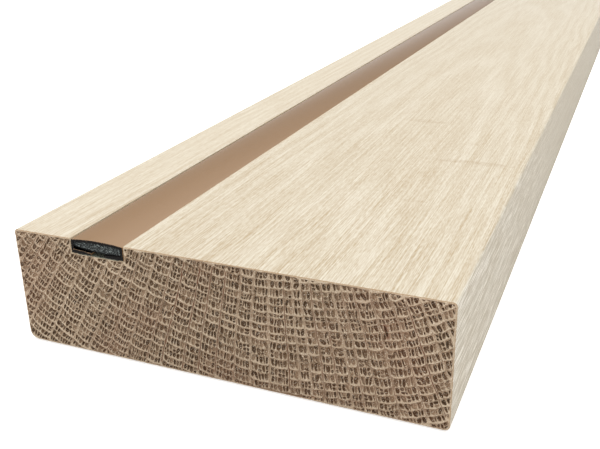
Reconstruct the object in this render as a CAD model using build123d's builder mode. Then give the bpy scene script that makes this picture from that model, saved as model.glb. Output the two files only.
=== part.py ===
"""Oak threshold strip with a fire and smoke seal let into a groove along its top face.

Millimetres. X runs across the strip from the seal side to the plain side, Y along its length and Z up.
The origin is the middle of the underside. The section is drawn on the XZ plane, whose local axes are X and Z,
and every piece is extruded both ways along Y.
"""

import os

from build123d import *

# Driving dimensions of the oak section.
LENGTH = 1000.0
WIDTH = 115.0
THICKNESS = 32.0
TOP_ARRIS = 1.0
SEAL_SIDE_BOTTOM_ARRIS = 2.5
PLAIN_SIDE_BOTTOM_ARRIS = 1.5
END_ARRIS = 0.3

# The groove for the seal, measured from the long edge on the seal side.
GROOVE_EDGE_DISTANCE = 17.6
GROOVE_WIDTH = 15.6
GROOVE_DEPTH = 4.0

# A nominal 15 x 4 mm seal: plastic casing, expanding core and adhesive tape underneath.
TAPE_WIDTH = 12.0
TAPE_THICKNESS = 0.2
CASING_WIDTH = 15.2
CASING_SIDE_HEIGHT = 3.7
CASING_CROWN = 0.45
CASING_WALL = 0.65
CASING_EDGE_RADIUS = 0.3
CASING_SLOT = 3.8
LIP_TIP_THICKNESS = 0.65
LIP_ROOT_THICKNESS = 1.05
CORE_CLEARANCE = 0.06
CORE_THICKNESS = 2.25
CORE_THIN_END = 1.0
CORE_THICK_END = 1.75
CORE_FLATS = 8

# Worked out from the dimensions above.
GROOVE_CENTRE = -WIDTH / 2 + GROOVE_EDGE_DISTANCE + GROOVE_WIDTH / 2
GROOVE_FLOOR = THICKNESS - GROOVE_DEPTH
CASING_BASE = GROOVE_FLOOR + TAPE_THICKNESS
HALF_CASING = CASING_WIDTH / 2
HALF_BORE = HALF_CASING - CASING_WALL
HALF_SLOT = CASING_SLOT / 2
CEILING_SIDE = CASING_SIDE_HEIGHT - CASING_WALL
CEILING_CROWN = CEILING_SIDE + CASING_CROWN
SEAL_PLANE = Plane(origin=(GROOVE_CENTRE, 0, CASING_BASE), x_dir=(1, 0, 0), z_dir=(0, -1, 0))


def mirrored(points):
    """The same points on the other side of the seal's middle line, in reverse order."""
    return [(-x, z) for x, z in reversed(points)]


def oak_sill():
    """The oak section: a square-edged board with eased long edges, a groove and plain cross-cut ends."""
    with BuildPart() as sill:
        with BuildSketch(Plane.XZ) as section:
            Rectangle(WIDTH, THICKNESS, align=(Align.CENTER, Align.MIN))
            bottom, top = section.vertices().group_by(Axis.Y)
            seal_side_bottom, plain_side_bottom = bottom.sort_by(Axis.X)
            fillet(top, TOP_ARRIS)
            fillet(seal_side_bottom, SEAL_SIDE_BOTTOM_ARRIS)
            fillet(plain_side_bottom, PLAIN_SIDE_BOTTOM_ARRIS)
        extrude(amount=LENGTH / 2, both=True)
        chamfer(sill.faces().filter_by(Axis.Y).edges(), END_ARRIS)
        with BuildSketch(Plane.XZ):
            with Locations((GROOVE_CENTRE, THICKNESS)):
                Rectangle(GROOVE_WIDTH, 2 * GROOVE_DEPTH)
        extrude(amount=LENGTH, both=True, mode=Mode.SUBTRACT)
    sill.part.label = "oak_sill"
    return sill.part


def adhesive_tape():
    """The tape that bonds the casing to the floor of the groove."""
    with BuildPart() as tape:
        with BuildSketch(Plane.XZ):
            with Locations((GROOVE_CENTRE, GROOVE_FLOOR)):
                Rectangle(TAPE_WIDTH, TAPE_THICKNESS, align=(Align.CENTER, Align.MIN))
        extrude(amount=LENGTH / 2, both=True)
    tape.part.label = "adhesive_tape"
    return tape.part


def seal_casing():
    """The extruded casing: two walls, a crowned top and two tapered lips with a slot between them."""
    outside = [(HALF_SLOT, 0), (HALF_CASING, 0), (HALF_CASING, CASING_SIDE_HEIGHT)]
    inside = [(HALF_BORE, CEILING_SIDE), (HALF_BORE, LIP_ROOT_THICKNESS), (HALF_SLOT, LIP_TIP_THICKNESS)]
    with BuildPart() as casing:
        with BuildSketch(SEAL_PLANE) as section:
            with BuildLine():
                Polyline(*outside)
                ThreePointArc(outside[-1], (0, CASING_SIDE_HEIGHT + CASING_CROWN), mirrored(outside)[0])
                Polyline(*mirrored(outside))
                Line(mirrored(outside)[-1], mirrored(inside)[0])
                Polyline(*mirrored(inside))
                ThreePointArc(mirrored(inside)[-1], (0, CEILING_CROWN), inside[0])
                Polyline(*inside)
                Line(inside[-1], outside[0])
            make_face()
            top_corners = section.vertices().sort_by(Axis.Y)[-2:]
            fillet(top_corners, CASING_EDGE_RADIUS)
        extrude(amount=LENGTH / 2, both=True)
    casing.part.label = "seal_casing"
    return casing.part


def shallow_curve(start, end, rise):
    """Points along a shallow parabola that rises by the given height halfway from start to end."""
    (start_x, start_z), (end_x, end_z) = start, end
    points = []
    for step in range(CORE_FLATS + 1):
        t = step / CORE_FLATS
        straight_z = start_z + (end_z - start_z) * t
        points.append((start_x + (end_x - start_x) * t, straight_z + 4 * rise * t * (1 - t)))
    return points


def intumescent_core():
    """The expanding core: it hangs under the casing's crowned top, and its belly clears the lips.

    It is a soft pressed sheet, so its top and its belly are drawn as narrow flats along two shallow curves.
    """
    half_width = HALF_BORE - CORE_CLEARANCE
    side_top = CEILING_SIDE - CORE_CLEARANCE
    middle_edge_thickness = (CORE_THIN_END + CORE_THICK_END) / 2
    belly_rise = middle_edge_thickness + CASING_CROWN - CORE_THICKNESS
    top = shallow_curve((-half_width, side_top), (half_width, side_top), CASING_CROWN)
    thick_end = (half_width, side_top - CORE_THICK_END)
    thin_end = (-half_width, side_top - CORE_THIN_END)
    with BuildPart() as core:
        with BuildSketch(SEAL_PLANE):
            with BuildLine():
                Polyline(*top, *shallow_curve(thick_end, thin_end, belly_rise), close=True)
            make_face()
        extrude(amount=LENGTH / 2, both=True)
    core.part.label = "intumescent_core"
    return core.part


os.makedirs("parts", exist_ok=True)
for piece in (oak_sill(), adhesive_tape(), seal_casing(), intumescent_core()):
    export_step(piece, f"parts/{piece.label}.step")
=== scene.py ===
"""The look of the oak threshold strip and its fire seal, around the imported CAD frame.

The oak is one closed mesh. Its sawn ends are modelled cell by cell: growth rings round a pith above the
board, rays that cross them, a shallow trough of torn early wood in each ring, and open pores inside each
trough. Sizes are in millimetres until a mesh is made, because grain is fine work; Blender gets metres.
"""

import math

import bpy
import numpy as np
from mathutils import Matrix, Vector
from mathutils.geometry import delaunay_2d_cdt


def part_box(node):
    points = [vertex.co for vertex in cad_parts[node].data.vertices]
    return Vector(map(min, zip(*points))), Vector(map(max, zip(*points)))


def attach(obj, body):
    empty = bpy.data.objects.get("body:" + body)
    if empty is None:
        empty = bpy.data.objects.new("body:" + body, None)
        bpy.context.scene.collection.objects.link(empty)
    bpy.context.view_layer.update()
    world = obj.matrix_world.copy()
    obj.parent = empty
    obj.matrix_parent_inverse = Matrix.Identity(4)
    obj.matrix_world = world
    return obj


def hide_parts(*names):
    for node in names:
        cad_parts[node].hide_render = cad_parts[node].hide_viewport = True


MM = 0.001

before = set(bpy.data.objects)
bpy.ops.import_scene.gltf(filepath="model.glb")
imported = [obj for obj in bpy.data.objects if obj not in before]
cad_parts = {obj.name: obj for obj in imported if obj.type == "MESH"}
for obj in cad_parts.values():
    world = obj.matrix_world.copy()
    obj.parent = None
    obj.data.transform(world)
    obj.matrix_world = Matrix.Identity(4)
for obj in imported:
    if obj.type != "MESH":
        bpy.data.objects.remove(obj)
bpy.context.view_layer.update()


def node_box(name):
    """Lowest and highest corner of a CAD node in millimetres."""
    low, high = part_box(name)
    return np.array(low) / MM, np.array(high) / MM


# ---------------------------------------------------------------------------------------------- dimensions

OAK_LOW, OAK_HIGH = node_box("oak_sill")
CASING_LOW, CASING_HIGH = node_box("seal_casing")
CORE_LOW, CORE_HIGH = node_box("intumescent_core")
TAPE_LOW = node_box("adhesive_tape")[0]

# The oak section, as in the CAD model.
TOP_ARRIS = 1.0
SEAL_SIDE_BOTTOM_ARRIS = 2.5
PLAIN_SIDE_BOTTOM_ARRIS = 1.5
END_ARRIS = 0.3
GROOVE_ARRIS = 0.15
GROOVE_GAP = 0.2
GROOVE_LEFT = CASING_LOW[0] - GROOVE_GAP
GROOVE_RIGHT = CASING_HIGH[0] + GROOVE_GAP
GROOVE_FLOOR = TAPE_LOW[2]

# The seal's section, as in the CAD model, and the width of the rim where its ends are cut.
CASING_CROWN = 0.45
CASING_WALL = 0.65
CASING_EDGE_RADIUS = 0.3
CASING_SLOT = 3.8
LIP_TIP = 0.65
LIP_ROOT = 1.05
CORE_THIN_END = 1.0
CORE_THICK_END = 1.75
CUT_RIM = 0.04
CASING_MIDDLE = (CASING_LOW[0] + CASING_HIGH[0]) / 2
CASING_HALF = (CASING_HIGH[0] - CASING_LOW[0]) / 2

# The cut ends of the seal: the grains' spacing, how deep they lie, and how far in the edge darkens them.
CASING_GRAIN = (0.22, 0.05, 0.1)
CORE_GRAIN = (0.17, 0.18, 0.45)

# Growth rings, seen on a sawn end. Angles are measured at the pith from straight down, towards +X.
PITH_NEAR = (16.3, 109.5)
PITH_FAR = (11.0, 121.0)
FIRST_RING = 74.0
LAST_RING = 150.0
RING_PITCH = 2.12
LATE_WOOD = 0.36
NARROW_RING_CHANCE = 0.08
RING_DRIFT = 0.45
RING_WOBBLE = 0.05
RAY_CROWDING = 0.0018
FIRST_RAY = -0.86
LAST_RAY = 0.62
RAY_SPACING = (2.4, 5.4)
RAY_RADIUS = 95.0
RAY_HALF_WIDTH = (0.11, 0.23)
RAY_DEPTH = 0.16
RAY_STEP = 1.1
TROUGH_DEPTH = 0.14
TROUGH_LIP = 0.07
TROUGH_CLEARANCE = 0.04
PORE_PITCH = 0.92
PORE_RIB = 0.13
SPLIT_PORES = 0.14
PORE_DEPTH = (0.35, 0.60)
PORE_FLOOR = 0.90
PORE_TAPER = 0.16
MOUTH_POINTS = 10
FLOOR_POINTS = 7
END_MARGIN = 0.10

# How far from the near end the grain's streaks take to become faint.
OPEN_GRAIN = 220.0

# A drying check in the near end.
CHECK_MIDDLE = (42.3, 22.3)
CHECK_LENGTH = 3.2
CHECK_WIDTH = 0.55
CHECK_DEPTH = 0.9

# The camera: its place in metres, its lens in millimetres, and its azimuth, elevation and roll in degrees.
CAMERA_PLACE = (0.0852, -0.6481, 0.1103)
CAMERA_LENS = 48.4
CAMERA_ANGLES = (22.95, 22.23, -0.99)

# Soft marks on the top: the middle across and along the strip, and half the size each way.
SMUDGES = ((41.0, -406.0, 18.0, 2.3), (16.0, -362.0, 10.0, 3.2), (33.0, -445.0, 5.0, 1.2))

# The studio floor, in metres: half its width, and how far it lies under the strip.
FLOOR_HALF = 12.0
FLOOR_DROP = 0.0002


# --------------------------------------------------------------------------------------- growth of the oak

class Waves:
    """A smooth random field over the end of the board: a sum of plane waves of about one wavelength."""

    def __init__(self, rng, wavelength, count=9):
        direction = rng.uniform(0, 2 * math.pi, count)
        length = wavelength * rng.uniform(0.7, 1.6, count)
        self.kx = 2 * math.pi * np.cos(direction) / length
        self.kz = 2 * math.pi * np.sin(direction) / length
        self.phase = rng.uniform(0, 2 * math.pi, count)
        self.scale = math.sqrt(2 / count)

    def __call__(self, x, z):
        x = np.asarray(x, float)[..., None]
        z = np.asarray(z, float)[..., None]
        return self.scale * np.sin(x * self.kx + z * self.kz + self.phase).sum(axis=-1)


class Rings:
    """The growth rings and rays of one end, as closed outlines on the XZ plane in millimetres."""

    def __init__(self, pith, seed):
        log = np.random.default_rng(5)
        self.pith = pith
        self.drift = Waves(log, 40.0)
        self.wobble_x = Waves(log, 3.0)
        self.wobble_z = Waves(log, 3.0)
        self.crowding = Waves(log, 16.0)
        self.rays = self.ray_angles(log)
        self.sag = log.uniform(0.18, 0.42, len(self.rays))
        self.rings = self.ring_radii(log)
        self.rng = np.random.default_rng(seed)

    def ray_angles(self, rng):
        """The angle of each ray at the pith."""
        angles = [FIRST_RAY]
        while angles[-1] < LAST_RAY:
            angles.append(angles[-1] + rng.uniform(*RAY_SPACING) / RAY_RADIUS)
        return angles

    def ring_radii(self, rng):
        """The inner radius, pitch and late-wood thickness of each ring."""
        rings = []
        radius = FIRST_RING
        while radius < LAST_RING:
            narrow = rng.random() < NARROW_RING_CHANCE
            pitch = RING_PITCH * (rng.uniform(0.5, 0.6) if narrow else rng.uniform(0.88, 1.14))
            late_wood = LATE_WOOD * rng.uniform(0.85, 1.2) * (0.7 if narrow else 1.0)
            rings.append((radius, pitch, late_wood))
            radius += pitch
        return rings

    def place(self, radius, angle):
        """Points on the end face, with the rings' slow drift and their small wobble."""
        x = self.pith[0] + radius * np.sin(angle)
        z = self.pith[1] - radius * np.cos(angle)
        radius = radius + RING_DRIFT * self.drift(x, z)
        angle = angle + RAY_CROWDING * self.crowding(0.6 * x, 0.6 * z)
        x = self.pith[0] + radius * np.sin(angle)
        z = self.pith[1] - radius * np.cos(angle)
        wobbled = (x + RING_WOBBLE * self.wobble_x(x, z), z + RING_WOBBLE * self.wobble_z(x, z))
        return np.stack(wobbled, axis=-1)

    def near(self, radius, angle, margin=8.0):
        """Whether a point of the rings lies on the end of the board, or just off it."""
        x, z = self.place(radius, angle)
        inside_x = OAK_LOW[0] - margin < x < OAK_HIGH[0] + margin
        return inside_x and OAK_LOW[2] - margin < z < OAK_HIGH[2] + margin

    def troughs(self):
        """Every stretch of early wood between two rays: its outline, and the pores inside it."""
        for radius, pitch, late_wood in self.rings:
            for first, last, sag in zip(self.rays, self.rays[1:], self.sag):
                middle = (first + last) / 2
                if self.near(radius, middle):
                    yield self.trough(radius, radius + pitch - late_wood, first, last, sag)

    def trough(self, inner, outer, first, last, sag):
        """One stretch of early wood: its outline, its lip on the side towards the pith, and its pores."""
        rng = self.rng
        width = (last - first) * inner
        sag = sag * rng.uniform(0.7, 1.3) + 0.55 * max(0.0, -(first + last) / 2)
        step = rng.normal(0, 0.06)

        def curve(across, radius):
            share = np.clip(across / width, 0, 1)
            bulge = sag * (4 * share * (1 - share)) ** 0.8
            return self.place(radius + bulge + step, first + across / inner)

        side = RAY_HALF_WIDTH[1] + TROUGH_CLEARANCE
        steps = max(3, round(width / 0.8))
        along = np.linspace(side - 0.04, width - side + 0.04, steps + 1)
        ragged = rng.uniform(-0.05, 0.05, steps + 1)
        top = curve(along, inner - 0.14 + ragged)
        lip = curve(along, inner - 0.14 - TROUGH_LIP + ragged)
        bottom = curve(along[::-1], np.full(steps + 1, outer + 0.10))
        values = [(TROUGH_DEPTH, 0.45, 0.0)] * len(top) + [(0.02, 0.95, 0.0)] * len(bottom)

        pores = []
        usable = width - 2 * side
        crowding = np.clip(1 + 0.12 * float(self.crowding(inner, 30 * (first + last))), 0.88, 1.15)
        count = max(1, round(usable / (PORE_PITCH * crowding)))
        share = np.concatenate([[0], np.cumsum(rng.uniform(0.6, 1.4, count))])
        edges = side + usable * share / share[-1]
        for left, right in zip(edges, edges[1:]):
            rib = min(PORE_RIB * rng.uniform(0.7, 1.6), 0.4 * (right - left))
            left, right = left + rib / 2, right - rib / 2
            low = inner + rng.uniform(-0.08, 0.08)
            high = outer + rng.uniform(-0.14, 0.06)
            if rng.random() < SPLIT_PORES:
                middle = low + (high - low) * rng.uniform(0.45, 0.6)
                pores.append(self.pore(left, right, low, middle - rib / 2, curve))
                low = middle + rib / 2
            pores.append(self.pore(left, right, low, high, curve))
        return np.concatenate([top, bottom]), values, lip, pores

    def pore(self, left, right, low, high, curve):
        """A torn pore: the outlines of its mouth and of its floor, and the values of each."""
        rng = self.rng
        lean = rng.normal(0, 0.12)
        depth, tone = rng.uniform(*PORE_DEPTH), 0.55 * rng.random() ** 1.5
        outlines = []
        for count, size in ((MOUTH_POINTS, 1.0), (FLOOR_POINTS, PORE_FLOOR)):
            across, out = oval(count)
            reach = size * rng.uniform(0.93, 1.05, count)
            wide = (right - left) / 2 * across * (1 - PORE_TAPER * out) * reach
            tall = (high - low) / 2 * out * reach
            points = curve((left + right) / 2 + wide + lean * tall, (low + high) / 2 + tall)
            outlines.append((points, (out + 1) / 2))
        (mouth, mouth_out), (floor, floor_out) = outlines
        mouth_values = [(0.8 * TROUGH_DEPTH * (1 - v), 0.68 + 0.28 * v, 0.0) for v in mouth_out]
        # The floors are dark: partly the early wood's own darker brown, partly painted shade deep in each
        # pore.
        floor_values = [(depth * (1 - 0.4 * v), tone + 0.2 * v, 0.0) for v in floor_out]
        return mouth, mouth_values, floor, floor_values

    def ray_cracks(self, rim):
        """Each stretch of a ray on the end face: its two lips, the crack between them, and its strength."""
        radius = np.arange(FIRST_RING, LAST_RING, RAY_STEP)
        for angle in self.rays:
            strength = 0.1 + 0.9 * self.rng.random() ** 1.2
            half_width = self.rng.uniform(*RAY_HALF_WIDTH, len(radius)) * (0.5 + 0.5 * strength) / radius
            left = self.place(radius, angle - half_width)
            middle = self.place(radius, np.full(len(radius), angle))
            right = self.place(radius, angle + half_width)
            clear = contains(rim, middle) & (distance_to(rim, middle) > END_MARGIN + RAY_HALF_WIDTH[1])
            for run in np.split(np.arange(len(radius)), np.flatnonzero(np.diff(clear)) + 1):
                if clear[run[0]] and len(run) > 2:
                    yield np.concatenate([left[run], right[run][::-1]]), middle[run][1:-1], strength


def oval(count):
    """Points round a squarish oval, each from -1 to 1 across and from -1 to 1 out from the pith."""
    turn = 2 * math.pi * (np.arange(count) + 0.5) / count
    across, out = np.cos(turn), np.sin(turn)
    return np.sign(across) * np.abs(across) ** 0.7, np.sign(out) * np.abs(out) ** 0.8


# --------------------------------------------------------------------------------------------- mesh helpers

def corner(x, z, radius, start, steps=6):
    """A quarter circle round x, z, anticlockwise from the given quarter turn."""
    turn = (start + np.linspace(0, 1, steps + 1)) * math.pi / 2
    return [(x + radius * math.cos(t), z + radius * math.sin(t)) for t in turn]


def oak_outline(inset, groove_inset):
    """The oak section, anticlockwise, drawn in by the inset all round and back from the groove's edges."""
    left, right = OAK_LOW[0] + inset, OAK_HIGH[0] - inset
    bottom, top = OAK_LOW[2] + inset, OAK_HIGH[2] - inset
    groove_left, groove_right = GROOVE_LEFT - groove_inset, GROOVE_RIGHT + groove_inset
    floor = GROOVE_FLOOR - groove_inset
    bottom_left = SEAL_SIDE_BOTTOM_ARRIS - inset
    bottom_right = PLAIN_SIDE_BOTTOM_ARRIS - inset
    arris = TOP_ARRIS - inset
    points = corner(left + bottom_left, bottom + bottom_left, bottom_left, 2)
    points += corner(right - bottom_right, bottom + bottom_right, bottom_right, 3)
    points += corner(right - arris, top - arris, arris, 0)
    points += [(groove_right, top), (groove_right, floor), (groove_left, floor), (groove_left, top)]
    points += corner(left + arris, top - arris, arris, 1)
    return np.array(points)


def clip(polygon, normal, limit):
    """The part of a convex polygon where its distance along the normal is under the limit."""
    kept = []
    side = polygon @ normal - limit
    for k, point in enumerate(polygon):
        previous = k - 1
        if (side[k] <= 0) != (side[previous] <= 0):
            share = side[previous] / (side[previous] - side[k])
            kept.append(polygon[previous] + share * (point - polygon[previous]))
        if side[k] <= 0:
            kept.append(point)
    return np.array(kept).reshape(-1, 2)


def inside_oak(polygon, margin):
    """A polygon trimmed to the end face, leaving a margin to its outer edges and to the groove."""
    left, right = OAK_LOW[0] + END_ARRIS + margin, OAK_HIGH[0] - END_ARRIS - margin
    bottom, top = OAK_LOW[2] + END_ARRIS + margin, OAK_HIGH[2] - END_ARRIS - margin
    for normal, limit in (((-1, 0), -left), ((1, 0), right), ((0, -1), -bottom), ((0, 1), top)):
        polygon = clip(polygon, np.array(normal, float), limit)
    groove_left = GROOVE_LEFT - GROOVE_ARRIS - margin
    groove_right = GROOVE_RIGHT + GROOVE_ARRIS + margin
    floor = GROOVE_FLOOR - GROOVE_ARRIS - margin
    low, high = polygon.min(axis=0, initial=1e9), polygon.max(axis=0, initial=-1e9)
    if high[0] > groove_left and low[0] < groove_right and high[1] > floor:
        choices = [
            clip(polygon, np.array([1.0, 0.0]), groove_left),
            clip(polygon, np.array([-1.0, 0.0]), -groove_right),
            clip(polygon, np.array([0.0, 1.0]), floor),
        ]
        polygon = max(choices, key=area)
    for x, z, radius in arris_centres():
        polygon = round_off(polygon, x, z, radius - END_ARRIS - margin)
    return polygon


def arris_centres():
    """Centre and radius of the four eased long edges, as seen on the end."""
    left, right, bottom, top = OAK_LOW[0], OAK_HIGH[0], OAK_LOW[2], OAK_HIGH[2]
    return (
        (left + SEAL_SIDE_BOTTOM_ARRIS, bottom + SEAL_SIDE_BOTTOM_ARRIS, SEAL_SIDE_BOTTOM_ARRIS),
        (right - PLAIN_SIDE_BOTTOM_ARRIS, bottom + PLAIN_SIDE_BOTTOM_ARRIS, PLAIN_SIDE_BOTTOM_ARRIS),
        (right - TOP_ARRIS, top - TOP_ARRIS, TOP_ARRIS),
        (left + TOP_ARRIS, top - TOP_ARRIS, TOP_ARRIS),
    )


def round_off(polygon, x, z, radius):
    """Cuts a polygon's points back where they lie beyond the rounded corner whose centre is at x, z."""
    out = polygon.copy()
    middle = (OAK_LOW + OAK_HIGH) / 2
    toward = np.sign([x - middle[0], z - middle[2]])
    for k, point in enumerate(polygon):
        offset = point - (x, z)
        beyond = (offset * toward > 0).all()
        distance = math.hypot(*offset)
        if beyond and distance > radius:
            out[k] = (x, z) + offset * radius / distance
    return out


def area(polygon):
    """The area inside a closed outline, and 0 where too little of it is left."""
    if len(polygon) < 3:
        return 0.0
    x, z = polygon[:, 0], polygon[:, 1]
    return abs(np.dot(x, np.roll(z, -1)) - np.dot(z, np.roll(x, -1))) / 2


class Sheet:
    """Points and lines on the end face, each point with its depth and its colour values."""

    def __init__(self, rim, rim_tones=None):
        self.points = []
        self.edges = []
        self.values = []
        self.rim_size = len(rim)
        tones = np.ones(len(rim)) if rim_tones is None else rim_tones
        self.line(rim, [(0.0, tone, 0.0) for tone in tones])

    def line(self, points, values, closed=True):
        """Adds points joined in a line. values is one set for them all, or a list of one set each."""
        first = len(self.points)
        self.points += [tuple(p) for p in points]
        self.values += values if isinstance(values, list) else [values] * len(points)
        last = len(self.points) - 1
        self.edges += [(k, k + 1) for k in range(first, last)]
        if closed:
            self.edges.append((last, first))

    def dots(self, points, values):
        """Adds loose points, with one set of values each."""
        self.points += [tuple(p) for p in points]
        self.values += [tuple(v) for v in values]

    def triangles(self):
        """Vertices, triangles inside the rim, each vertex's values, and where each given point went."""
        flat = [Vector(p) for p in self.points]
        rim = list(range(self.rim_size))
        verts, _, faces, sources, _, of_rim = delaunay_2d_cdt(flat, self.edges, [rim], 0, 1e-5, True)
        crossing = (TROUGH_DEPTH, 0.4, 0.0)
        values = np.array([self.values[s[0]] if s else crossing for s in sources])
        went_to = {given: made for made, given_points in enumerate(sources) for given in given_points}
        inside = [tuple(face) for face, from_rim in zip(faces, of_rim) if from_rim]
        return np.array([tuple(v) for v in verts]), inside, values, went_to


def end_sheet(rim, pith, seed, check=None):
    """One sawn end: proud late wood, torn early wood, rays cracked open, and pores clear of any check."""
    sheet = Sheet(rim)
    rings = Rings(pith, seed)
    for outline, values, lip, pores in rings.troughs():
        outline, values = trimmed(outline, values, END_MARGIN + 0.05)
        if area(outline) < 0.3:
            continue
        sheet.line(outline, values)
        for run in runs_inside(rim, lip, END_MARGIN):
            sheet.line(run, (0.0, 1.0, 0.0), closed=False)
        for mouth, mouth_values, floor, floor_values in pores:
            mouth, mouth_values = trimmed(mouth, mouth_values, END_MARGIN + 0.09)
            floor, floor_values = trimmed(floor, floor_values, END_MARGIN + 0.14)
            in_check = check is not None and contains(check, floor).any()
            if area(mouth) > 0.08 and area(floor) > 0.03 and not in_check:
                sheet.line(mouth, mouth_values)
                sheet.line(floor, floor_values)
    for lips, crack, strength in rings.ray_cracks(rim):
        sheet.line(lips, (0.0, 1.0, 0.0))
        sheet.line(crack, (RAY_DEPTH * strength, 0.4, strength), closed=False)
    return sheet


def drying_check(pith):
    """A short check, open along a ray: its lips, and the line of its floor."""
    middle = np.array(CHECK_MIDDLE)
    along = middle - pith
    along /= np.hypot(*along)
    across = np.array([-along[1], along[0]])
    turn = 2 * math.pi * np.arange(12) / 12
    length = CHECK_LENGTH / 2 * np.cos(turn)
    width = CHECK_WIDTH / 2 * np.sin(turn)
    lips = middle + length[:, None] * along + width[:, None] * across
    floor = middle + np.linspace(-0.4, 0.4, 7)[:, None] * CHECK_LENGTH * along
    return lips, floor


def trimmed(outline, values, margin):
    """An outline trimmed to the end face, with each point's values taken from the nearest point before."""
    cut = inside_oak(outline, margin)
    nearest = [int(np.argmin(np.hypot(*(outline - point).T))) for point in cut]
    return cut, [values[k] for k in nearest]


def runs_inside(rim, points, margin):
    """The runs of two or more points that lie inside the rim and clear of it."""
    clear = contains(rim, points) & (distance_to(rim, points) > margin)
    for run in np.split(np.arange(len(points)), np.flatnonzero(np.diff(clear)) + 1):
        if clear[run[0]] and len(run) > 1:
            yield points[run]


# --------------------------------------------------------------------------------------------- closed bars

def densify(points, step):
    """A closed outline with its straight runs divided into lengths of about one step."""
    dense = []
    for k, start in enumerate(points):
        end = points[(k + 1) % len(points)]
        count = max(1, round(math.dist(start, end) / step))
        dense += [start + (end - start) * n / count for n in range(count)]
    return np.array(dense)


def contains(outline, points):
    """Which points lie inside a closed outline."""
    inside = np.zeros(len(points), bool)
    for start, end in zip(outline, np.roll(outline, -1, axis=0)):
        crosses = (start[1] > points[:, 1]) != (end[1] > points[:, 1])
        rise = end[1] - start[1] if end[1] != start[1] else 1.0
        at = start[0] + (points[:, 1] - start[1]) * (end[0] - start[0]) / rise
        inside ^= crosses & (points[:, 0] < at)
    return inside


def distance_to(outline, points):
    """Distance from each point to the nearest line of a closed outline."""
    nearest = np.full(len(points), np.inf)
    for start, end in zip(outline, np.roll(outline, -1, axis=0)):
        run = end - start
        share = np.clip((points - start) @ run / max(run @ run, 1e-12), 0, 1)
        nearest = np.minimum(nearest, np.hypot(*(points - start - share[:, None] * run).T))
    return nearest


def grains(outline, spacing, margin, rng):
    """Points scattered inside an outline, about one spacing apart and clear of its edge."""
    low, high = outline.min(axis=0), outline.max(axis=0)
    x, z = np.meshgrid(np.arange(low[0], high[0], spacing), np.arange(low[1], high[1], spacing))
    points = np.column_stack([x.ravel(), z.ravel()])
    points = points + rng.uniform(-0.4, 0.4, points.shape) * spacing
    points = points[contains(outline, points)]
    return points[distance_to(outline, points) > margin]


def bar(name, outlines, rows, sheets, end_width, weights=None):
    """A closed bar along Y, from one outline for each row of vertices and a sheet for each end.

    end_width is the share of the texture's width that each end takes, and weights says how much of the
    texture each stretch of the outline takes for its length.
    """
    size = len(outlines[0])
    verts, faces, uvs, values = [], [], [], []
    low, high = outlines[0].min(axis=0), outlines[0].max(axis=0)
    end_height = end_width * (high[1] - low[1]) / (high[0] - low[0])
    ends_in_a_row = round(1 / end_width)
    rims = []
    for end, (sheet, y, inward) in enumerate(zip(sheets, (rows[0][0], rows[-1][0]), (1, -1))):
        flat, triangles, sheet_values, went_to = sheet.triangles()
        first = len(verts)
        verts += [(x, y + inward * v[0], z) for (x, z), v in zip(flat, sheet_values)]
        values += [(1.0, v[1], v[2]) for v in sheet_values]
        rims.append([first + went_to[k] for k in range(size)])
        u, v = (end % ends_in_a_row) * end_width, (end // ends_in_a_row) * end_height
        spot = (flat - low) / (high - low) * (end_width, end_height) * 0.99 + (u, v)
        for triangle in triangles:
            order = triangle if inward == 1 else triangle[::-1]
            faces.append([first + k for k in order])
            uvs.append([spot[k] for k in order])

    loops = [rims[0]]
    for (y, raise_y), outline in zip(rows[1:-1], outlines):
        loops.append(list(range(len(verts), len(verts) + size)))
        verts += [(x, y + dy, z) for (x, z), dy in zip(outline, raise_y)]
        values += [(0.0, 1.0, 0.0)] * size
    loops.append(rims[1])

    ends_height = end_height * math.ceil(2 * end_width - 1e-6)
    around = texture_around(outlines[0], ends_height, weights)
    ys = np.array([row[0] for row in rows])
    along = 0.005 + 0.99 * (ys - ys[0]) / (ys[-1] - ys[0])
    for r, (here, there) in enumerate(zip(loops, loops[1:])):
        for k in range(size):
            n = (k + 1) % size
            faces.append([here[k], there[k], there[n], here[n]])
            uvs.append([
                (along[r], around[k]),
                (along[r + 1], around[k]),
                (along[r + 1], around[k + 1]),
                (along[r], around[k + 1]),
            ])
    return piece(name, verts, faces, uvs, values)


def texture_around(outline, start, weights):
    """Where each point of an outline lies up the texture, above the ends, and where it closes."""
    run = np.hypot(*(np.roll(outline, -1, axis=0) - outline).T)
    if weights is not None:
        run = run * weights(outline)
    around = np.concatenate([[0], np.cumsum(run)]) / run.sum()
    return start + 0.01 + (0.985 - start) * around


def piece(name, verts, faces, uvs, values):
    """A mesh object in metres, with its texture layout and its end, tone and ray values."""
    mesh = bpy.data.meshes.new(name)
    mesh.from_pydata((np.array(verts) * MM).tolist(), [], faces)
    layer = mesh.uv_layers.new(name="OFBake")
    layer.data.foreach_set("uv", np.array([uv for face in uvs for uv in face]).ravel())
    for column, attribute in enumerate(("end", "tone", "ray")):
        data = mesh.attributes.new(attribute, "FLOAT", "POINT").data
        data.foreach_set("value", np.array(values)[:, column])
    mesh.polygons.foreach_set("use_smooth", [True] * len(mesh.polygons))
    mesh.set_sharp_from_angle(angle=math.radians(35))
    mesh.validate()
    made = bpy.data.objects.new(name, mesh)
    bpy.context.scene.collection.objects.link(made)
    return made


# ---------------------------------------------------------------------------------------------- the pieces

def oak_weights(outline):
    """The top and the long edges take more of the texture than the underside and the groove."""
    z = outline[:, 1]
    weight = np.full(len(outline), 1.5)
    weight[z < OAK_LOW[2] + 0.01] = 0.8
    weight[z > OAK_HIGH[2] - 0.01] = 2.0
    weight[in_groove(outline)] = 0.5
    return weight


def in_groove(outline):
    """Which points of the oak's outline lie on the groove's walls and floor."""
    x, z = outline.T
    return (x > GROOVE_LEFT - 0.01) & (x < GROOVE_RIGHT + 0.01) & (z > GROOVE_FLOOR - 0.01)


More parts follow.
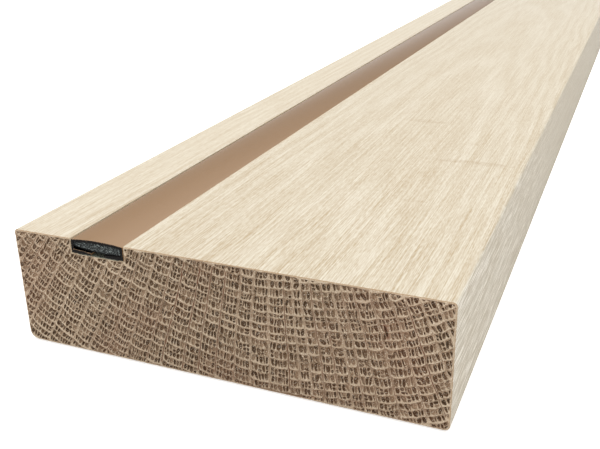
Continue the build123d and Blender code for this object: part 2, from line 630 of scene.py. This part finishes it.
def make_oak():
    """The oak board: sawn ends full of relief, ragged arrises, and a drying check in the near end."""
    rng = np.random.default_rng(21)
    full = densify(oak_outline(0.0, 0.0), 1.0)
    inner = drawn_in(full, rng)
    lips, floor = drying_check(PITH_NEAR)
    sheets = [end_sheet(inner, PITH_NEAR, 11, lips), end_sheet(inner, PITH_FAR, 12)]
    sheets[0].line(lips, (0.0, 0.8, 0.6))
    # The check's floor takes the darkest tone: painted shade down in the crack.
    sheets[0].line(floor, (CHECK_DEPTH, 0.0, 0.0), closed=False)
    low, high = OAK_LOW[1], OAK_HIGH[1]
    ragged = rng.uniform(0.75, 1.0, (2, len(full))) * END_ARRIS
    still = np.zeros(len(full))
    rows = [(low, still), (low, ragged[0]), (high, -ragged[1]), (high, still)]
    return bar("oak_board", [full, full], rows, sheets, 1.0, oak_weights)


def drawn_in(full, rng):
    """The rim of the sawn end: the full outline drawn in by the end arris, a little raggedly."""
    before, after = np.roll(full, 1, axis=0), np.roll(full, -1, axis=0)
    along = after - before
    inward = np.column_stack([-along[:, 1], along[:, 0]])
    inward /= np.hypot(*inward.T)[:, None]
    amount = np.where(in_groove(full), GROOVE_ARRIS, END_ARRIS) * rng.uniform(0.7, 1.0, len(full))
    return full + inward * amount[:, None]


def casing_outline():
    """The casing's section: walls, crowned top and two tapered lips, anticlockwise."""
    base, half = CASING_LOW[2], CASING_HALF
    side_top = CASING_HIGH[2] - CASING_CROWN
    bore = half - CASING_WALL
    slot = CASING_SLOT / 2

    def crown(reach, height, count):
        x = np.linspace(reach, -reach, count)
        return [(v, height + CASING_CROWN * (1 - (v / half) ** 2)) for v in x]

    edge = corner(half - CASING_EDGE_RADIUS, side_top - CASING_EDGE_RADIUS, CASING_EDGE_RADIUS, 0, 4)
    right = [(slot, base), (half, base)] + edge
    top = crown(half - CASING_EDGE_RADIUS, side_top, 25)[1:-1]
    lip = [(bore, base + LIP_ROOT), (slot, base + LIP_TIP)]
    ceiling = crown(bore, side_top - CASING_WALL, 17)
    left = [(-x, z) for x, z in right[::-1]]
    left_lip = [(-x, z) for x, z in lip[::-1]]
    points = right + top + left + left_lip + ceiling[::-1] + lip
    return np.array(points) + (CASING_MIDDLE, 0)


def core_outline():
    """The core's section: a crowned top, a belly, a thin end and a thick end, anticlockwise."""
    left, right = CORE_LOW[0], CORE_HIGH[0]
    top = CORE_HIGH[2] - CASING_CROWN
    share = np.linspace(0, 1, 17)
    bulge = 4 * share * (1 - share)
    thin_end, thick_end = top - CORE_THIN_END, top - CORE_THICK_END
    drop = (thin_end + thick_end) / 2 - CORE_LOW[2]
    belly = thin_end + (thick_end - thin_end) * share - drop * bulge * 0.98
    crown = top + CASING_CROWN * bulge
    bottom = np.column_stack([left + (right - left) * share, belly])
    ceiling = np.column_stack([right - (right - left) * share, crown])
    return np.concatenate([bottom, ceiling])


def granular_ends(outline, rim_tones, grain, seed):
    """Two cut ends, each a rough scatter of grains that get darker towards the edge."""
    spacing, roughness, dark_edge = grain
    rng = np.random.default_rng(seed)
    sheets = []
    for _ in range(2):
        sheet = Sheet(outline, rim_tones)
        dots = grains(outline, spacing, spacing * 0.45, rng)
        depth = rng.uniform(0, roughness, len(dots))
        tone = rng.uniform(0.1, 0.6, len(dots)) * np.clip(distance_to(outline, dots) / dark_edge, 0, 1)
        sheet.dots(dots, np.column_stack([depth, tone, np.zeros(len(dots))]))
        sheets.append(sheet)
    return sheets


def cut_rows(low, high, count):
    """The rows of a bar with clean cut ends, each with a narrow rim."""
    still = np.zeros(count)
    return [(low, still), (low + CUT_RIM, still), (high - CUT_RIM, still), (high, still)]


def make_casing():
    """The casing, whose cut keeps its brown only along the top edge and on the left lip: the plastic's own
    brown, shown there paler as a painted highlight on the top rim and painted light on the lit left lip.
    """
    outline = densify(casing_outline(), 0.5)
    x, z = outline.T
    top_edge = z > CASING_HIGH[2] - CASING_CROWN - 0.01
    left_lip = (x > CASING_LOW[0] + CASING_WALL - 0.01) & (x < CASING_MIDDLE)
    left_lip &= (z > CASING_LOW[2] + 0.5) & (z < CASING_LOW[2] + 1.1)
    sheets = granular_ends(outline, np.where(top_edge | left_lip, 1.0, 0.0), CASING_GRAIN, 31)
    rows = cut_rows(CASING_LOW[1], CASING_HIGH[1], len(outline))
    return bar("seal_casing_shell", [outline] * 2, rows, sheets, 0.5)


def make_core():
    """The core, dark all round the edge of its cut."""
    outline = densify(core_outline(), 0.5)
    sheets = granular_ends(outline, np.zeros(len(outline)), CORE_GRAIN, 32)
    rows = cut_rows(CORE_LOW[1], CORE_HIGH[1], len(outline))
    return bar("seal_core", [outline] * 2, rows, sheets, 0.5)


# ---------------------------------------------------------------------------------------------- materials

class Nodes:
    """A node tree, with short ways to add nodes and to link them."""

    def __init__(self, tree):
        self.tree = tree

    def add(self, kind, inputs=None, **settings):
        node = self.tree.nodes.new(kind)
        for name, value in settings.items():
            setattr(node, name, value)
        for name, value in (inputs or {}).items():
            self.put(node.inputs[name], value)
        return node

    def put(self, socket, value):
        if isinstance(value, bpy.types.NodeSocket):
            self.tree.links.new(value, socket)
        else:
            socket.default_value = value

    def math(self, operation, a, b=0.0):
        return self.add("ShaderNodeMath", {0: a, 1: b}, operation=operation).outputs[0]

    def plus(self, total, *others):
        for other in others:
            total = self.math("ADD", total, other)
        return total

    def times(self, product, *others):
        for other in others:
            product = self.math("MULTIPLY", product, other)
        return product

    def vector(self, operation, a, b=(0, 0, 0), scale=1.0, output="Vector"):
        inputs = {0: a, 1: b, 3: scale}
        return self.add("ShaderNodeVectorMath", inputs, operation=operation).outputs[output]

    def noise(self, vector, detail=2.0, roughness=0.5):
        inputs = {"Vector": vector, "Scale": 1.0, "Detail": detail, "Roughness": roughness}
        return self.add("ShaderNodeTexNoise", inputs).outputs["Fac"]

    def spread(self, value, low, high, to_low=0.0, to_high=1.0, kind="LINEAR"):
        """The value, taken from one range to another and kept inside it."""
        inputs = {0: value, 1: low, 2: high, 3: to_low, 4: to_high}
        return self.add("ShaderNodeMapRange", inputs, interpolation_type=kind).outputs[0]

    def attribute(self, name):
        return self.add("ShaderNodeAttribute", attribute_name=name).outputs["Fac"]

    def mix(self, factor, a, b):
        """The colour a where the factor is 0, and b where it is 1."""
        node = self.add("ShaderNodeMix", data_type="RGBA")
        self.put(node.inputs["Factor"], factor)
        self.put(node.inputs["A"], a)
        self.put(node.inputs["B"], b)
        return node.outputs["Result"]

    def ramp(self, factor, stops):
        """A colour from a list of places from 0 to 1, each with its colour."""
        node = self.add("ShaderNodeValToRGB", {0: factor})
        elements = node.color_ramp.elements
        while len(elements) < len(stops):
            elements.new(0.5)
        for element, (position, code) in zip(elements, stops):
            element.position = position
            element.color = colour(code)
        return node.outputs[0]


class Surface(Nodes):
    """A material: a shader, its nodes, and the place of a point on the piece in millimetres."""

    def __init__(self, name):
        self.material = bpy.data.materials.new(name)
        self.material.use_nodes = True
        super().__init__(self.material.node_tree)
        self.tree.nodes.clear()
        output = self.add("ShaderNodeOutputMaterial")
        self.shader = self.add("ShaderNodeBsdfPrincipled")
        self.put(output.inputs["Surface"], self.shader.outputs[0])
        self.place = self.vector("SCALE", self.add("ShaderNodeTexCoord").outputs["Object"], scale=1 / MM)
        self.x, self.y, self.z = self.add("ShaderNodeSeparateXYZ", {0: self.place}).outputs

    def set(self, inputs):
        """Sets the shader's own sockets, by name."""
        for name, value in inputs.items():
            self.put(self.shader.inputs[name], value)

    def stretched(self, sx, sy, sz):
        """The place on the piece, divided by a size in millimetres along each axis."""
        return self.vector("DIVIDE", self.place, (sx, sy, sz))

    def bump(self, height, distance, strength):
        """Fine relief, in the shading only."""
        inputs = {"Height": height, "Distance": distance * MM, "Strength": strength}
        self.set({"Normal": self.add("ShaderNodeBump", inputs).outputs[0]})

    def finish(self, target, slot_name):
        """Puts the material on a piece."""
        target.data.materials.clear()
        target.data.materials.append(self.material)


def colour(code):
    """A linear colour from a hex code as it looks on a screen."""
    parts = [int(code[k:k + 2], 16) / 255 for k in (0, 2, 4)]
    linear = [p / 12.92 if p <= 0.04045 else ((p + 0.055) / 1.055) ** 2.4 for p in parts]
    return (*linear, 1.0)


def oak_material():
    """Pale planed oak, with darker sawn ends and a tan arris between them. Round the groove the arris is
    paler, a painted highlight, and the groove's walls and floor are painted pale, painted light that lifts
    the shade in the gap beside the seal.
    """
    oak = Surface("oak")
    end = oak.attribute("end")
    # Round the groove the sawn end's arris is paler: a painted highlight on the cut edge.
    rim = oak.mix(groove_box(oak, 0.6), colour("9a7b5a"), colour("cbb999"))
    cut = oak.mix(oak.spread(end, 0.5, 0.95), rim, sawn_colour(oak))
    outside = oak.mix(oak.spread(end, 0.05, 0.5), long_grain_colour(oak), cut)
    # The groove's walls and floor are pale oak, painted paler than the planed faces: painted light that
    # lifts the shade in the narrow gap beside the seal.
    oak.set({
        "Base Color": oak.mix(groove_box(oak, GROOVE_ARRIS / 2), outside, colour("ddd0b6")),
        "Roughness": 0.62,
        "Specular IOR Level": 0.12,
    })
    fibre = oak.noise(oak.stretched(0.3, 0.3, 0.3), 3.0, 0.6)
    combed = oak.noise(oak.stretched(0.4, 14, 0.4), 2.0)
    oak.bump(oak.plus(combed, oak.times(fibre, end)), 0.08, 0.5)
    return oak


def long_grain_colour(oak):
    """Planed faces: fine streaks, slow changes of tone, the rings' arches, smudges, and greyer sides."""
    grain = oak.mix(oak.plus(streaks(oak), 0.55), colour("ad9776"), colour("d9d1bf"))
    grain = slow_tones(oak, grain)
    grain = ring_arches(oak, grain)
    grain = oak.mix(oak.times(smudges(oak), 0.36), grain, colour("a58d6e"))
    return side_grain(oak, grain)


def streaks(oak):
    """Soft streaks, short specks and fibres, above and below 0, which get fainter along the strip."""
    soft = oak.spread(oak.noise(oak.stretched(0.30, 26, 0.30), 1.0), 0.36, 0.62, -0.18, 0.18)
    speck = oak.spread(oak.noise(oak.stretched(0.24, 2.2, 0.24), 1.0), 0.36, 0.62, -0.20, 0.20)
    fibre = oak.spread(fibres(oak, 0.20, 15.0), 0.0, 1.0, -0.27, 0.27)
    strength = oak.spread(oak.y, OAK_LOW[1], OAK_LOW[1] + OPEN_GRAIN, 1.0, 0.65)
    return oak.times(oak.plus(soft, speck, fibre), strength)


def fibres(oak, width, length):
    """Fine fibres along the strip, each with a random start and a random tone from 0 to 1."""
    bend = oak.times(oak.noise(oak.stretched(5, 60, 5), 1.0), 5.0)
    around = oak.math("DIVIDE", oak.plus(oak.x, oak.z), width)
    fibre = oak.math("FLOOR", oak.plus(around, bend))
    start = oak.add("ShaderNodeTexWhiteNoise", {"W": fibre}, noise_dimensions="1D").outputs["Value"]
    along = oak.plus(oak.math("DIVIDE", oak.y, length), oak.times(start, 7.0))
    cell = oak.add("ShaderNodeCombineXYZ", {0: fibre, 1: oak.math("FLOOR", along)}).outputs[0]
    return oak.add("ShaderNodeTexWhiteNoise", {"Vector": cell}, noise_dimensions="2D").outputs["Value"]


def slow_tones(oak, grain):
    """Broad pale bands, a slow paling from the near end to the middle, and a pale land left of the seal."""
    wide = oak.noise(oak.stretched(9, 160, 9), 2.0)
    grain = oak.mix(oak.spread(wide, 0.35, 0.65, 0.1, 0.25), grain, colour("ccc3b0"))
    grain = oak.mix(oak.spread(oak.y, OAK_LOW[1], 0.0, 0.0, 0.25), grain, colour("dad6cc"))
    return oak.mix(oak.spread(oak.x, GROOVE_LEFT - 2, GROOVE_LEFT, 0.2, 0.0), grain, colour("dfd6c4"))


def ring_arches(oak, grain):
    """Faint arches where the rings run out through the planed faces, with dashes in their early wood."""
    phase = ring_phase(oak)
    early = oak.times(oak.spread(phase, 0.0, 0.15), oak.spread(phase, 0.30, 0.62, 1.0, 0.0))
    late = oak.times(oak.spread(phase, 0.55, 0.75), oak.spread(phase, 0.80, 1.0, 1.0, 0.0))
    dash = oak.spread(oak.noise(oak.stretched(0.3, 8, 0.3), 1.0), 0.52, 0.64)
    grain = oak.mix(oak.times(late, 0.14), grain, colour("ddd5c6"))
    grain = oak.mix(oak.times(early, 0.05), grain, colour("a98a5f"))
    return oak.mix(oak.times(dash, early, 0.07), grain, colour("9a7d55"))


def smudges(oak):
    """A few soft marks on the top, each from 0 to 1, which lie across the grain."""
    total = 0.0
    for x, y, half_width, half_length in SMUDGES:
        offset = oak.vector("SUBTRACT", oak.place, (x, y, OAK_HIGH[2]))
        offset = oak.vector("DIVIDE", offset, (half_width, half_length, 1.0))
        squares = oak.vector("DOT_PRODUCT", offset, offset, output="Value")
        total = oak.plus(oak.spread(squares, 0.0, 1.0, 1.0, 0.0, "SMOOTHSTEP"), total)
    return oak.times(total, oak.spread(oak.noise(oak.stretched(2, 2, 2), 3.0), 0.35, 0.6))


def side_grain(oak, grain):
    """The board's sides: a greyer ground with short light dashes, which fade along the strip."""
    side = oak.spread(oak.math("ABSOLUTE", oak.x), OAK_HIGH[0] - 0.5, OAK_HIGH[0] - 0.1)
    dash = oak.spread(oak.noise(oak.stretched(0.24, 9, 0.24), 1.0), 0.51, 0.64)
    strength = oak.spread(oak.y, OAK_LOW[1], OAK_LOW[1] + OPEN_GRAIN, 1.0, 0.1)
    ground = oak.mix(oak.times(side, 0.32), grain, colour("a6a094"))
    return oak.mix(oak.times(side, strength, dash), ground, colour("eee8dc"))


def ring_phase(oak):
    """Where a point lies in its growth ring, from 0 in the first early wood to 1 in the last late wood."""
    pith_x = oak.spread(oak.y, OAK_LOW[1], OAK_HIGH[1], PITH_NEAR[0], PITH_FAR[0])
    pith_z = oak.spread(oak.y, OAK_LOW[1], OAK_HIGH[1], PITH_NEAR[1], PITH_FAR[1])
    across = oak.math("SUBTRACT", oak.x, pith_x)
    down = oak.math("SUBTRACT", pith_z, oak.z)
    squares = oak.plus(oak.times(across, across), oak.times(down, down))
    wander = oak.times(oak.noise(oak.stretched(30, 150, 30), 2.0), 7.0)
    radius = oak.plus(oak.math("SQRT", squares), wander)
    return oak.math("FRACT", oak.math("DIVIDE", radius, RING_PITCH))


def sawn_colour(oak):
    """Sawn ends: light late wood and ribs, brown pores, red-brown rays, and fine light specks, painted
    highlights on torn fibres.
    """
    stops = ((0.0, "2a1a0a"), (0.3, "452d16"), (0.7, "a1886f"), (1.0, "c9b69d"))
    sawn = oak.ramp(oak.attribute("tone"), stops)
    fibre = oak.noise(oak.stretched(0.28, 0.28, 0.28), 3.0, 0.65)
    fibre_glint = oak.noise(oak.stretched(0.22, 0.22, 0.22), 1.0)
    blotch = oak.noise(oak.stretched(14, 14, 14), 2.0)
    red = oak.noise(oak.stretched(22, 22, 22), 2.0)
    sawn = oak.mix(oak.spread(fibre, 0.38, 0.68, 0.0, 0.42), sawn, colour("5c4832"))
    sawn = oak.mix(oak.spread(blotch, 0.35, 0.7, 0.0, 0.22), sawn, colour("76634d"))
    sawn = oak.mix(oak.spread(red, 0.45, 0.7, 0.0, 0.25), sawn, colour("8a5f4a"))
    middle = oak.spread(oak.math("ABSOLUTE", oak.x), 5.0, 50.0, 0.16, 0.0)
    sawn = oak.mix(middle, sawn, colour("5a4632"))
    # Painted highlights: fine light specks where torn fibres catch the light.
    sawn = oak.mix(oak.spread(fibre_glint, 0.60, 0.70, 0.0, 0.7), sawn, colour("ddd0bc"))
    return oak.mix(oak.spread(oak.attribute("ray"), 0.0, 0.7), sawn, colour("643f2c"))


def groove_box(oak, margin):
    """1 inside the groove and within a margin of its walls and floor."""
    left = oak.math("GREATER_THAN", oak.x, GROOVE_LEFT - margin)
    right = oak.math("LESS_THAN", oak.x, GROOVE_RIGHT + margin)
    below = oak.math("LESS_THAN", oak.z, OAK_HIGH[2] - GROOVE_ARRIS / 2)
    above = oak.math("GREATER_THAN", oak.z, GROOVE_FLOOR - margin)
    return oak.times(left, right, below, above)


def casing_material():
    """Satin brown plastic, smeared black with graphite inside and where it is cut."""
    casing = Surface("brown_plastic")
    cut_face = casing.spread(casing.attribute("end"), 0.3, 0.8)
    smear = casing.noise(casing.stretched(0.5, 0.5, 0.5), 3.0)
    black = casing.mix(casing.spread(smear, 0.35, 0.7), colour("030303"), colour("171210"))
    # The cut's pale brown rim on the top edge and the left lip: the plastic's own brown, but lighter than
    # the body and only on the lit rims, a painted highlight.
    bare_and_lit_rim = casing.spread(casing.attribute("tone"), 0.5, 1.0, 0.0, 0.8)
    cut = casing.mix(bare_and_lit_rim, black, colour("a98a6c"))
    bore = casing_bore(casing)
    outside = casing.mix(bore, colour("9b7a58"), black)
    casing.set({
        "Base Color": casing.mix(cut_face, outside, cut),
        "Roughness": casing.spread(cut_face, 0.0, 1.0, 0.35, 0.9),
        "Specular IOR Level": 0.25,
        "Coat Weight": casing.spread(casing.math("MAXIMUM", cut_face, bore), 0.0, 1.0, 1.0, 0.0),
        "Coat Roughness": 0.2,
        "Coat IOR": 1.4,
    })
    casing.bump(casing.noise(casing.stretched(0.6, 6, 0.6), 3.0), 0.01, 0.3)
    return casing


def casing_bore(casing):
    """1 on the walls, the ceiling and the lips that face the core."""
    across = casing.math("ABSOLUTE", casing.math("SUBTRACT", casing.x, CASING_MIDDLE))
    inside = casing.math("LESS_THAN", across, CASING_HALF - CASING_WALL + 0.05)
    below = casing.math("LESS_THAN", casing.z, CASING_HIGH[2] - CASING_WALL + 0.1)
    above = casing.math("GREATER_THAN", casing.z, CASING_LOW[2] + 0.5)
    return casing.times(inside, below, above)


def core_material():
    """Pressed graphite granules, some of them glinting."""
    core = Surface("graphite_core")
    tone = core.attribute("tone")
    fleck = core.spread(core.noise(core.stretched(0.22, 0.22, 0.22), 3.0), 0.52, 0.66)
    fleck = core.times(fleck, core.spread(tone, 0.05, 0.3))
    base = core.mix(core.spread(tone, 0.0, 0.6), colour("050606"), colour("1d2021"))
    core.set({
        "Base Color": core.mix(fleck, base, colour("8f9794")),
        "Roughness": 0.7,
        "Specular IOR Level": 0.2,
    })
    core.bump(core.noise(core.stretched(0.16, 0.16, 0.16), 2.0), 0.06, 0.6)
    return core


def tape_material():
    """Dark adhesive tape with paler crumbs on it."""
    tape = Surface("tape")
    crumb = tape.noise(tape.stretched(0.3, 0.8, 0.3), 3.0)
    tape.set({
        "Base Color": tape.mix(tape.spread(crumb, 0.4, 0.6), colour("20211c"), colour("7a7d6c")),
        "Roughness": 0.8,
    })
    tape.bump(crumb, 0.05, 0.5)
    return tape


# --------------------------------------------------------------------------------- floor, light and camera

def make_floor():
    """A white floor, which glows a little for the camera alone, so that it looks as white as the sky."""
    mesh = bpy.data.meshes.new("floor")
    corners = [(-FLOOR_HALF, -FLOOR_HALF), (FLOOR_HALF, -FLOOR_HALF)]
    corners += [(FLOOR_HALF, FLOOR_HALF), (-FLOOR_HALF, FLOOR_HALF)]
    mesh.from_pydata([(x, y, -FLOOR_DROP) for x, y in corners], [], [(0, 1, 2, 3)])
    floor = bpy.data.objects.new("floor", mesh)
    bpy.context.scene.collection.objects.link(floor)
    paper = Surface("floor")
    seen = paper.add("ShaderNodeLightPath").outputs["Is Camera Ray"]
    paper.set({
        "Base Color": (0.90, 0.90, 0.90, 1),
        "Roughness": 0.9,
        "Emission Color": (1, 1, 1, 1),
        "Emission Strength": paper.times(seen, 0.45),
    })
    mesh.materials.append(paper.material)


def make_light(name, place, target, size, power):
    """A round lamp, aimed at a target. Places and size are in metres, and power is in watts."""
    data = bpy.data.lights.new(name, "AREA")
    data.shape = "DISK"
    data.size = size
    data.energy = power
    light = bpy.data.objects.new(name, data)
    light.location = place
    light.rotation_euler = (Vector(target) - Vector(place)).to_track_quat("-Z", "Y").to_euler()
    bpy.context.scene.collection.objects.link(light)


def make_world():
    """An even white studio. Glossy surfaces also see a dim band, low down behind the strip."""
    world = bpy.data.worlds.new("studio")
    world.use_nodes = True
    bpy.context.scene.world = world
    sky = Nodes(world.node_tree)
    direction = sky.add("ShaderNodeTexCoord").outputs["Generated"]
    _, along, up = sky.add("ShaderNodeSeparateXYZ", {0: direction}).outputs
    low_down = sky.times(sky.spread(up, 0.13, 0.18), sky.spread(up, 0.33, 0.55, 1.0, 0.0))
    glossy = sky.add("ShaderNodeLightPath").outputs["Is Glossy Ray"]
    band = sky.times(low_down, sky.spread(along, 0.3, 0.7), glossy)
    background = world.node_tree.nodes["Background"]
    sky.put(background.inputs["Color"], sky.spread(band, 0.0, 1.0, 1.0, 0.1))
    background.inputs["Strength"].default_value = 0.75


def make_lighting():
    """Studio light all round, a broad lamp overhead and a weaker one in front of the near end."""
    make_world()
    make_light("overhead", (0.1, -0.1, 1.6), (0.0, -0.2, 0.0), 1.6, 18.0)
    make_light("front", (-0.3, -2.2, 0.7), (0.0, -0.5, 0.0), 1.4, 11.0)


def make_camera():
    """The camera, turned by its azimuth, elevation and roll."""
    azimuth, elevation, roll = [math.radians(angle) for angle in CAMERA_ANGLES]
    data = bpy.data.cameras.new("camera")
    data.sensor_width = 36.0
    data.lens = CAMERA_LENS
    data.clip_start = 0.01
    camera = bpy.data.objects.new("camera", data)
    turn = Matrix.Rotation(azimuth, 4, "Z") @ Matrix.Rotation(math.pi / 2 - elevation, 4, "X")
    camera.matrix_world = Matrix.Translation(CAMERA_PLACE) @ turn @ Matrix.Rotation(roll, 4, "Z")
    bpy.context.scene.collection.objects.link(camera)
    bpy.context.scene.camera = camera


# ---------------------------------------------------------------------------------------------- the making

make_camera()
oak = make_oak()
oak_material().finish(oak, "oak")
casing = make_casing()
casing_material().finish(casing, "brown_plastic")
core = make_core()
core_material().finish(core, "graphite_core")
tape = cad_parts["adhesive_tape"]
tape_material().finish(tape, "tape")
for made, node in ((oak, "oak_sill"), (casing, "seal_casing"), (core, "intumescent_core")):
    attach(made, "root")
    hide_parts(node)
make_floor()
make_lighting()
bpy.context.scene.view_settings.view_transform = "Standard"
